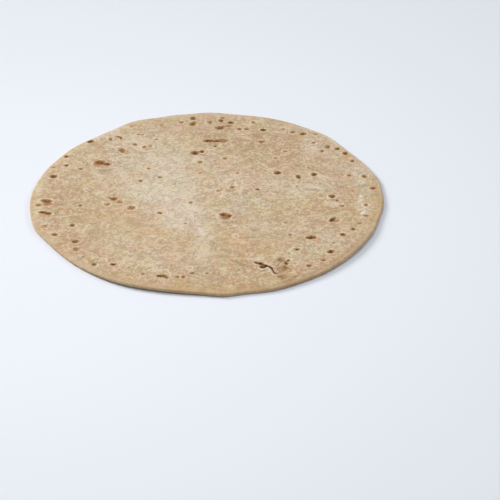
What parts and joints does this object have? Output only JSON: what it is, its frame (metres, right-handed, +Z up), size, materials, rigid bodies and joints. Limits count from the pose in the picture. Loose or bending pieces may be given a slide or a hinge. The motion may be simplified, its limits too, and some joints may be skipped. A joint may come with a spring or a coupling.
{
  "type": "saj bread",
  "caption": "Whole thin round flatbread with a gently wavy rounded rim, a matt floury face and toasted blisters, lying flat.",
  "frame": {"origin": "middle of the base: the centre of the outline's box in plan, on the plane the bread lies on", "axes": "+Z up out of the toasted upper face; -Y towards the viewer of the picture, +X to the right"},
  "size_m": [0.3006, 0.3036, 0.0043],
  "materials": {
    "toasted_dough": "matt baked wheat dough with toasted blisters and a floury bloom"
  },
  "bodies": {
    "root": {"bread": "toasted_dough"}
  },
  "joints": []
}
